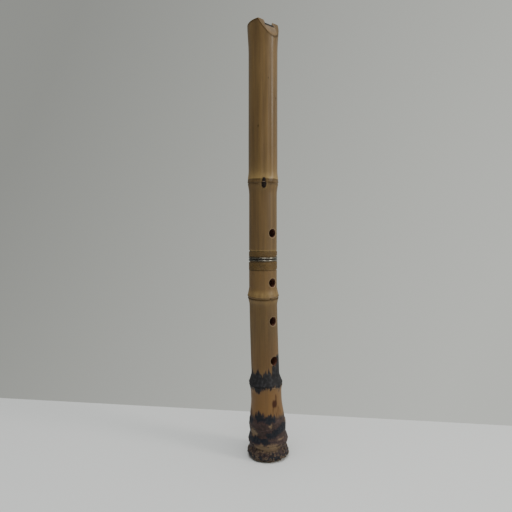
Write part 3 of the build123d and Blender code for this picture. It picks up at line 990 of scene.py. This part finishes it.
class FLUTE_OT_lower_cane(bpy.types.Operator):
    """Make the root-end cane with its nodes, finger holes, binding recess and socket"""

    bl_idname = "flute.lower_cane"
    bl_label = "Lower cane"

    def execute(self, context):
        canes = context.scene.flute_canes
        holes = cane_holes(["finger_hole_1", "finger_hole_2", "finger_hole_3"])
        foot, top, _ = node_box("lower_culm")
        ring_low, _, ring_radius = node_box("lower_joint_ring")
        wound_low, wound_high, _ = node_box("lower_rattan_binding")
        sleeve_low, _, sleeve_radius = node_box("socket_sleeve")
        lining_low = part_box("lower_bore_lining")[0].z
        recess_radius, spigot_radius = 17.0 * MM, ring_radius - 1.3 * MM
        cane_bore, stand_bore, chamfer = 10.9 * MM, 8.5 * MM, 0.3 * MM
        spots = [(height * MM, 7 * MM, 0.5 * MM) for height, *_ in NODES]
        spots += [(25 * MM, 33 * MM, 0.8 * MM), (210 * MM, 6 * MM, 1.0 * MM)]
        spots += [(height, 8 * MM, 0.8 * MM) for height, _ in holes]
        rebate = ring_low - 0.1 * MM
        profile = [(stand_bore, foot)]
        foot_rounding = ((5.0, 0.0), (3.6, 0.45), (2.3, 1.2), (1.3, 2.2), (0.5, 3.6))
        profile += [
            (plain_radius(canes, foot + rise * MM) - inset * MM, foot + rise * MM)
            for inset, rise in foot_rounding
        ]
        skin = heights_between(foot + 5.4 * MM, wound_low - 0.05 * MM - chamfer, spots)
        profile += [(plain_radius(canes, height), height) for height in skin]
        profile += [(recess_radius, wound_low - 0.05 * MM), (recess_radius, rebate - 0.4 * MM)]
        profile += [(canes.lower_radius - 0.05 * MM, rebate - 0.3 * MM)]
        profile += [(canes.lower_radius - 0.05 * MM, rebate)]
        profile += [(spigot_radius, rebate), (spigot_radius, top), (sleeve_radius, top)]
        profile += [(sleeve_radius, sleeve_low), (cane_bore, sleeve_low)]
        inner = heights_between(lining_low, sleeve_low - 2 * MM, [])
        profile += [(cane_bore, height) for height in reversed(inner)]
        profile += [(stand_bore, lining_low), (stand_bore, foot + 12 * MM)]
        shape = lathe(profile, canes.steps_round)
        for face in shape.faces:
            middle = face.calc_center_median()
            radius = math.hypot(middle.x, middle.y)
            if radius < plain_radius(canes, middle.z) - 1.0 * MM or middle.z < foot + 0.1 * MM:
                face.material_index = CUT_FACE
        round_cane(canes, shape, holes, foot, wound_low - 0.2 * MM)
        materials = cane_materials(context)
        shape = boolean_cut(shape, hole_cutters(canes, holes, LACQUER_FACE), materials)
        piece = make_piece("root_cane", shape, materials, LOWER, ["lower_culm"])
        paint_cane(piece, canes, holes)
        return {"FINISHED"}


def slab(corners, half_width, material_index):
    """Make a prism across the flute from its side view, in reach to the front and height."""
    shape = bmesh.new()
    outline = [
        shape.verts.new((joint_x - half_width, joint_y - reach, height)) for reach, height in corners
    ]
    face = shape.faces.new(outline)
    grown = bmesh.ops.extrude_face_region(shape, geom=[face])
    moved = [item for item in grown["geom"] if isinstance(item, bmesh.types.BMVert)]
    bmesh.ops.translate(shape, verts=moved, vec=(2 * half_width, 0, 0))
    bmesh.ops.recalc_face_normals(shape, faces=shape.faces)
    for face in shape.faces:
        face.material_index = material_index
    return shape


class FLUTE_OT_upper_cane(bpy.types.Operator):
    """Make the head cane with its groove, holes, slanted mouth and notched bevel"""

    bl_idname = "flute.upper_cane"
    bl_label = "Upper cane"

    def execute(self, context):
        canes = context.scene.flute_canes
        holes = cane_holes(["finger_hole_4"]) + cane_holes(["thumb_hole"], BACK)
        foot, _, _ = node_box("upper_culm")
        _, ring_high, ring_radius = node_box("upper_joint_ring")
        wound_low, wound_high, _ = node_box("upper_rattan_binding")
        tenon_high, tenon_radius = node_box("joint_tenon")[1:]
        edge_low, edge_high = inlay_low, inlay_high
        edge_reach = joint_y - edge_high.y
        recess_radius, spigot_radius = 17.0 * MM, ring_radius - 1.22 * MM
        cane_bore, chamfer, rim, inner_rim = 11.2 * MM, 0.3 * MM, 1.5 * MM, 0.8 * MM
        spots = [(height * MM, 8 * MM, 0.45 * MM) for height, *_ in NODES]
        spots += [(height, 8 * MM, 0.8 * MM) for height, _ in holes]
        spots += [(262 * MM, 4 * MM, 0.5 * MM)]
        profile = [(tenon_radius, foot), (spigot_radius, foot), (spigot_radius, ring_high)]
        profile += [(canes.lower_radius - 0.05 * MM, ring_high)]
        profile += [(canes.lower_radius - 0.05 * MM, wound_low - 0.2 * MM)]
        profile += [(recess_radius, wound_low - 0.05 * MM), (recess_radius, wound_high + 0.05 * MM)]
        spots += [(535 * MM, 20 * MM, 1.0 * MM)]
        spots += [(fleck[1] * MM, 3 * MM, 0.6 * MM) for fleck in FLECKS]
        skin = heights_between(wound_high + 0.05 * MM + chamfer, BLANK_TOP - rim, spots)
        profile += [(plain_radius(canes, height), height) for height in skin]
        profile += rounded_rim(plain_radius(canes, BLANK_TOP), BLANK_TOP, rim, 1)
        profile += reversed(rounded_rim(cane_bore, BLANK_TOP, inner_rim, -1))
        profile += [(cane_bore, BLANK_TOP - inner_rim), (cane_bore, 515 * MM), (cane_bore, tenon_high)]
        profile += [(tenon_radius, tenon_high)]
        shape = lathe(profile, canes.steps_round)
        for face in shape.faces:
            middle = face.calc_center_median()
            radius = math.hypot(middle.x, middle.y)
            if radius < cane_bore + 0.05 * MM:
                face.material_index = LACQUER_FACE
            elif middle.z > BLANK_TOP - 0.9 * MM:
                face.material_index = CUT_FACE
            elif radius < plain_radius(canes, middle.z) - 1.0 * MM:
                face.material_index = CUT_FACE
        round_cane(canes, shape, holes, wound_high, 560 * MM)
        materials = cane_materials(context)
        shape = boolean_cut(shape, hole_cutters(canes, holes, LACQUER_FACE), materials)
        far, high = 40 * MM, 40 * MM
        run = math.tan(canes.bevel_slope)
        bevel = [
            (edge_reach - high * run, edge_high.z + high),
            (edge_reach + high * run, edge_high.z - high),
            (edge_reach + far, edge_high.z - high), (edge_reach + far, edge_high.z + high),
        ]
        notch_floor, lip = edge_high.z - 5.5 * MM, edge_high.z - 0.002 * MM
        notch = [
            (0, notch_floor), (edge_reach, notch_floor), (edge_reach, lip),
            (far, lip), (far, edge_high.z + high), (0, edge_high.z + high),
        ]
        inlay = inlay_outline(edge_low, edge_high, canes, far)
        for outline, half_width in (
            (bevel, far), (inlay, (edge_high.x - edge_low.x) / 2), (notch, 7.2 * MM),
        ):
            shape = boolean_cut(shape, slab(outline, half_width, CUT_FACE), materials)
        bmesh.ops.remove_doubles(shape, verts=shape.verts, dist=0.04 * MM)
        piece = make_piece("head_cane", shape, materials, UPPER, ["upper_culm"])
        paint_cane(piece, canes, holes)
        return {"FINISHED"}


def inlay_outline(low, high, canes, beyond=0.0):
    """Give the inlay's side view: its tongue, its face on the bevel, or a cut open to beyond it."""
    near, far = joint_y - high.y, joint_y - low.y + 0.45 * MM
    face_height = high.z - (far - near) / math.tan(canes.bevel_slope)
    outline = [(near, high.z), (near, low.z), (far, low.z), (far, face_height)]
    return outline + ([(beyond, face_height), (beyond, high.z)] if beyond else [])


class FLUTE_OT_horn_inlay(bpy.types.Operator):
    """Make the strip of horn at the blowing edge"""

    bl_idname = "flute.horn_inlay"
    bl_label = "Horn inlay"

    def execute(self, context):
        canes = context.scene.flute_canes
        low, high = inlay_low, inlay_high
        shape = slab(inlay_outline(low, high, canes), (high.x - low.x) / 2, 0)
        bmesh.ops.bevel(
            shape, geom=shape.edges, affect="EDGES", offset=0.08 * MM, segments=2,
            profile=0.5, material=-1,
        )
        make_piece("horn_edge", shape, [finish(context, "dark_horn")], UPPER,
                   ["blowing_edge_inlay"])
        return {"FINISHED"}


class FLUTE_OT_root_stubs(bpy.types.Operator):
    """Make the stubs of the cut roots round the foot"""

    bl_idname = "flute.root_stubs"
    bl_label = "Root stubs"

    def execute(self, context):
        canes = context.scene.flute_canes
        shape = bmesh.new()
        rows = [(2.6, 34, 0.0), (5.8, 35, 0.5), (9.2, 31, 0.1), (12.4, 18, 0.6), (19.0, 8, 0.3)]
        for level, count, shift in rows:
            for index in range(count):
                angle = math.tau * (index + shift + 0.7 * wander(index, level, 31, 3.0)) / count
                if wander(index * 3.1, level, 35, 3.0) > 0.4:
                    continue
                size = (1.45 + 0.9 * wander(index * 2.3, level, 33, 3.0)) * MM
                height = (level + 2.4 * wander(index * 1.7, level, 32, 3.0)) * MM
                height = max(height, size + 0.6 * MM)
                tilt = math.radians(-26 + 5.0 * height / MM)
                self.add_stub(canes, shape, height, angle, size, min(tilt, math.radians(30)))
        materials = [finish(context, "root_stub"), finish(context, "dark_pith")]
        make_piece("root_stubs", shape, materials, LOWER)
        return {"FINISHED"}

    def add_stub(self, canes, shape, height, angle, size, tilt):
        """Add one stub: a short round end with a rounded rim and a hollow pith."""
        made = bmesh.ops.create_circle(shape, cap_ends=True, segments=10, radius=size)
        face = made["verts"][0].link_faces[0]
        sides = bmesh.ops.extrude_face_region(shape, geom=[face])["geom"]
        top = [item for item in sides if isinstance(item, bmesh.types.BMFace)][0]
        bmesh.ops.delete(shape, geom=[face], context="FACES_ONLY")
        proud = (1.6 + 0.5 * wander(angle * 9, height / MM, 34, 2.0)) * MM
        bmesh.ops.translate(shape, verts=top.verts, vec=(0, 0, proud))
        bmesh.ops.inset_region(shape, faces=[top], thickness=0.3 * size, depth=0.12 * size)
        bmesh.ops.inset_region(shape, faces=[top], thickness=0.2 * size, depth=-0.1 * size)
        bmesh.ops.inset_region(shape, faces=[top], thickness=0.08 * size, depth=-0.4 * size)
        top.material_index = 1
        island = {vert for vert in made["verts"]}
        fringe = list(island)
        while fringe:
            vert = fringe.pop()
            for edge in vert.link_edges:
                other = edge.other_vert(vert)
                if other not in island:
                    island.add(other)
                    fringe.append(other)
        centre_x, centre_y = cane_centre(canes, height)
        radius = plain_radius(canes, height) + root_relief(height, angle) - 1.2 * MM
        radius += node_relief(height, angle)
        radius -= 0.22 * max(5.4 * MM - height, 0.0) * (5.4 - height / MM)
        turn = Matrix.Rotation(angle, 4, "Z") @ Matrix.Rotation(math.pi / 2 - tilt, 4, "Y")
        place = Vector((centre_x, centre_y, height)) + Vector(
            (math.cos(angle), math.sin(angle), 0)
        ) * radius
        bmesh.ops.transform(shape, verts=list(island), matrix=Matrix.Translation(place) @ turn)
        for vert in island:
            reach = math.hypot(vert.co.x - centre_x, vert.co.y - centre_y)
            share = min(ROOT_REACH / reach, 1.0)
            vert.co.x = centre_x + (vert.co.x - centre_x) * share
            vert.co.y = centre_y + (vert.co.y - centre_y) * share


class FLUTE_OT_bud_scar(bpy.types.Operator):
    """Make the dark bud on the head cane's node"""

    bl_idname = "flute.bud_scar"
    bl_label = "Bud scar"

    def execute(self, context):
        canes = context.scene.flute_canes
        shape = bmesh.new()
        lobes = ((342.4, 4.7, 3.0, 1.5, 0), (347.5, 3.3, 2.2, 1.5, 0), (345.4, 0.55, 2.2, 1.75, 1))
        for level, half_height, half_width, thick, index in lobes:
            made = bmesh.ops.create_uvsphere(shape, u_segments=24, v_segments=16, radius=1.0)
            size = Matrix.Diagonal((thick * MM, half_width * MM, half_height * MM, 1))
            height = level * MM
            centre_x, centre_y = cane_centre(canes, height)
            radius = plain_radius(canes, height) + node_relief(height, BUD_ANGLE) - 0.5 * MM
            outward = Vector((math.cos(BUD_ANGLE), math.sin(BUD_ANGLE), 0))
            place = Vector((centre_x, centre_y, height)) + outward * radius
            matrix = Matrix.Translation(place) @ Matrix.Rotation(BUD_ANGLE, 4, "Z") @ size
            bmesh.ops.transform(shape, verts=made["verts"], matrix=matrix)
            for vert in made["verts"]:
                ripple = noise.noise(Vector((vert.co.x, vert.co.y, vert.co.z * 0.4)) * 900)
                vert.co += (vert.co - place).normalized() * 0.35 * MM * ripple
                for face in vert.link_faces:
                    face.material_index = index
        materials = [finish(context, "dark_pith"), finish(context, "root_stub")]
        make_piece("bud_scar", shape, materials, UPPER)
        return {"FINISHED"}


class FLUTE_OT_joint_rings(bpy.types.Operator):
    """Make the two silver rings, each a half-round bead with a low collar at the seam"""

    bl_idname = "flute.joint_rings"
    bl_label = "Joint rings"

    def execute(self, context):
        canes = context.scene.flute_canes
        for name, node, body, upward in (
            ("lower_ring", "lower_joint_ring", RING, -1), ("upper_ring", "upper_joint_ring", UPPER, 1),
        ):
            low, high, radius = node_box(node)
            seam, outer = (low, high) if upward > 0 else (high, low)
            inner, collar, band = radius - 1.2 * MM, radius - 0.6 * MM, radius - 0.35 * MM
            bead, rise, arc_steps = 1.4 * MM, 0.65 * MM, 10
            bead_start = seam + upward * 0.7 * MM
            profile = [(inner, outer), (inner, seam), (collar - 0.2 * MM, seam)]
            profile += [(collar, seam + upward * 0.2 * MM), (collar, bead_start - upward * 0.05 * MM)]
            for step in range(arc_steps + 1):
                share = math.pi * step / arc_steps
                profile.append((
                    radius - rise + rise * math.sin(share),
                    bead_start + upward * bead * (1 - math.cos(share)) / 2,
                ))
            profile += [(band, bead_start + upward * (bead + 0.05 * MM)), (band, outer)]
            shape = lathe(profile, canes.steps_round)
            # Faces beyond the bead take the brown band; the collar at the seam takes blackened silver, which is
            # tarnish and painted seam shade.
            for face in shape.faces:
                middle = face.calc_center_median()
                if (middle.z - bead_start) * upward > bead + 0.01 * MM:
                    face.material_index = 2
                elif math.hypot(middle.x, middle.y) < collar + 0.02 * MM:
                    face.material_index = 1
            place_on_axis(shape)
            materials = [
                finish(context, finish_name) for finish_name in ("ring_silver", "ring_tarnish", "ring_band")
            ]
            make_piece(name, shape, materials, body, [node])
        return {"FINISHED"}


class FLUTE_OT_rattan(bpy.types.Operator):
    """Wind the split rattan above and below the rings"""

    bl_idname = "flute.rattan"
    bl_label = "Rattan bindings"

    def execute(self, context):
        joint = context.scene.flute_joint
        for name, node, body, turns in (
            ("lower_winding", "lower_rattan_binding", LOWER, joint.lower_turns),
            ("upper_winding", "upper_rattan_binding", UPPER, joint.upper_turns),
        ):
            low, high, radius = node_box(node)
            strip = (high - low) / (turns + 1)
            width = strip - joint.strip_gap
            shape = bmesh.new()
            outline = []
            arc_steps = 8
            bottom = radius - joint.strip_thickness
            for step in range(arc_steps + 1):
                share = math.pi * step / arc_steps
                outline.append((
                    bottom + joint.strip_thickness * (0.5 + 0.5 * math.sin(share) ** 0.6),
                    -width / 2 * math.cos(share),
                ))
            outline += [(bottom, width / 2), (bottom, -width / 2)]
            start = low + strip / 2
            corners = [shape.verts.new((reach, 0, start + height)) for reach, height in outline]
            end_face = shape.faces.new(corners)
            steps_per_turn = 120
            spun = bmesh.ops.spin(
                shape, geom=[end_face], cent=(0, 0, 0), axis=(0, 0, 1),
                dvec=(0, 0, strip / steps_per_turn), angle=math.tau * turns,
                steps=steps_per_turn * turns, use_merge=False,
            )
            bmesh.ops.rotate(
                shape, verts=shape.verts, cent=(0, 0, 0), matrix=Matrix.Rotation(BACK, 3, "Z")
            )
            bmesh.ops.recalc_face_normals(shape, faces=shape.faces)
            place_on_axis(shape)
            piece = make_piece(name, shape, [finish(context, "split_rattan")], body, [node])
            # Depth below each strip's crown, which the finish turns into painted shade between the turns.
            layer = piece.data.attributes.new("groove", "FLOAT", "POINT")
            layer.data.foreach_set("value", [
                (radius - math.hypot(vert.co.x - joint_x, vert.co.y - joint_y)) / (0.45 * joint.strip_thickness)
                for vert in piece.data.vertices
            ])
        return {"FINISHED"}


class FLUTE_OT_inner_parts(bpy.types.Operator):
    """Finish the parts inside the canes: linings, tenon and sleeve"""

    bl_idname = "flute.inner_parts"
    bl_label = "Inner parts"

    def execute(self, context):
        for node, name in (
            ("lower_bore_lining", "bore_lacquer"), ("upper_bore_lining", "bore_lacquer"),
            ("joint_tenon", "bore_lacquer"), ("socket_sleeve", "bamboo_cut"),
        ):
            piece = frame["nodes"][node]
            for slot in piece.material_slots:
                slot.material = finish(context, name)
        return {"FINISHED"}


class FLUTE_OT_stage(bpy.types.Operator):
    """Set the camera, the soft light, the table top and the room"""

    bl_idname = "flute.stage"
    bl_label = "Stage"

    def execute(self, context):
        stage = context.scene.flute_stage
        self.set_camera(context, stage)
        self.set_table(stage)
        self.set_lights(context, stage)
        return {"FINISHED"}

    def set_camera(self, context, stage):
        """Stand the camera where the photograph was taken from, looking level."""
        back = Vector((math.sin(stage.camera_azimuth), -math.cos(stage.camera_azimuth), 0))
        right = Vector((-back.y, back.x, 0))
        aside = (stage.flute_pixel_x - PHOTO_SIDE / 2) / stage.focal_pixels * stage.camera_distance
        data = bpy.data.cameras.new("camera")
        data.sensor_width = 36.0
        data.lens = stage.focal_pixels / PHOTO_SIDE * data.sensor_width
        data.shift_y = (stage.horizon_pixel_y - PHOTO_SIDE / 2) / PHOTO_SIDE
        camera = bpy.data.objects.new("camera", data)
        camera.location = Vector((joint_x, joint_y, stage.camera_height))
        camera.location += back * stage.camera_distance - right * aside
        camera.rotation_mode = "QUATERNION"
        camera.rotation_quaternion = (-back).to_track_quat("-Z", "Y")
        context.scene.collection.objects.link(camera)
        context.scene.camera = camera

    def set_table(self, stage):
        """Lay the pale table top, with its far edge behind the flute."""
        shape = bmesh.new()
        bmesh.ops.create_cube(shape, size=1.0)
        width, depth, thickness, behind = 3.0, 2.2, 0.03, 0.135
        bmesh.ops.scale(shape, verts=shape.verts, vec=(width, depth, thickness))
        bmesh.ops.translate(shape, verts=shape.verts, vec=(0, behind - depth / 2, -thickness / 2))
        turn = Matrix.Rotation(stage.camera_azimuth - math.radians(8), 4, "Z")
        bmesh.ops.transform(shape, verts=shape.verts, matrix=turn)
        mesh = bpy.data.meshes.new("table_top")
        shape.to_mesh(mesh)
        shape.free()
        table = bpy.data.objects.new("table_top", mesh)
        tree = FinishTree("table_white")
        tree.shader.inputs["Base Color"].default_value = (*stage.floor_colour, 1)
        tree.shader.inputs["Roughness"].default_value = 0.55
        mesh.materials.append(tree.material)
        bpy.context.scene.collection.objects.link(table)

    def set_lights(self, context, stage):
        """Hang a soft light on the right and a larger one high above, in a room that is brighter to the right and
        lower down.
        """
        world = bpy.data.worlds.new("room")
        world.use_nodes = True
        backdrop = world.node_tree.nodes["Background"]
        links, nodes = world.node_tree.links, world.node_tree.nodes
        look = nodes.new("ShaderNodeTexCoord")
        aside = nodes.new("ShaderNodeVectorMath")
        aside.operation = "DOT_PRODUCT"
        right = stage.camera_azimuth
        aside.inputs[1].default_value = (math.cos(right), math.sin(right), -0.5)
        links.new(look.outputs["Generated"], aside.inputs[0])
        fade = nodes.new("ShaderNodeMapRange")
        fade.inputs["From Min"].default_value = -0.5
        fade.inputs["From Max"].default_value = 0.5
        fade.inputs["To Min"].default_value = 0.72
        fade.inputs["To Max"].default_value = 1.46
        links.new(aside.outputs["Value"], fade.inputs["Value"])
        links.new(fade.outputs["Result"], backdrop.inputs["Strength"])
        backdrop.inputs["Color"].default_value = (*stage.room_colour, 1)
        context.scene.world = world
        for name, turn, lift, distance, size, power in (
            ("window_light", 66, 22, 1.5, 0.42, 10.0), ("ceiling_light", -10, 80, 1.6, 1.2, 24.0),
        ):
            angle = stage.camera_azimuth + math.radians(turn)
            tilt = math.radians(lift)
            away = Vector((
                math.sin(angle) * math.cos(tilt), -math.cos(angle) * math.cos(tilt), math.sin(tilt),
            ))
            data = bpy.data.lights.new(name, "AREA")
            data.shape = "DISK"
            data.size = size
            data.energy = power
            data.color = (1.0, 0.955, 0.88) if name == "window_light" else (1.0, 1.0, 1.0)
            light = bpy.data.objects.new(name, data)
            light.location = Vector((joint_x, joint_y, joint_z)) + away * distance
            light.rotation_mode = "QUATERNION"
            light.rotation_quaternion = (-away).to_track_quat("-Z", "Y")
            context.scene.collection.objects.link(light)


OPERATORS = [
    FLUTE_OT_stage, FLUTE_OT_lower_cane, FLUTE_OT_upper_cane, FLUTE_OT_horn_inlay,
    FLUTE_OT_root_stubs, FLUTE_OT_bud_scar, FLUTE_OT_joint_rings, FLUTE_OT_rattan,
    FLUTE_OT_inner_parts,
]


class FLUTE_PT_pieces(bpy.types.Panel):
    """Lists the flute's sizes, colours and pieces"""

    bl_idname = "FLUTE_PT_pieces"
    bl_label = "Bamboo flute"
    bl_space_type = "VIEW_3D"
    bl_region_type = "UI"
    bl_category = "Flute"

    def draw(self, context):
        for setting in SETTINGS:
            box = self.layout.box()
            group = getattr(context.scene, setting)
            for name in group.__annotations__:
                box.prop(group, name)
        for operator in OPERATORS:
            self.layout.operator(operator.bl_idname)


def register():
    """Register the settings, operators and panel."""
    for name, group in SETTINGS.items():
        bpy.utils.register_class(group)
        setattr(bpy.types.Scene, name, bpy.props.PointerProperty(type=group))
    for operator in OPERATORS:
        bpy.utils.register_class(operator)
    bpy.utils.register_class(FLUTE_PT_pieces)


def unregister():
    """Take the panel, operators and settings away again."""
    bpy.utils.unregister_class(FLUTE_PT_pieces)
    for operator in reversed(OPERATORS):
        bpy.utils.unregister_class(operator)
    for name, group in SETTINGS.items():
        delattr(bpy.types.Scene, name)
        bpy.utils.unregister_class(group)


def main():
    """Make every piece."""
    register()
    for operator in OPERATORS:
        group, name = operator.bl_idname.split(".")
        getattr(getattr(bpy.ops, group), name)()


if __name__ == "__main__":
    main()
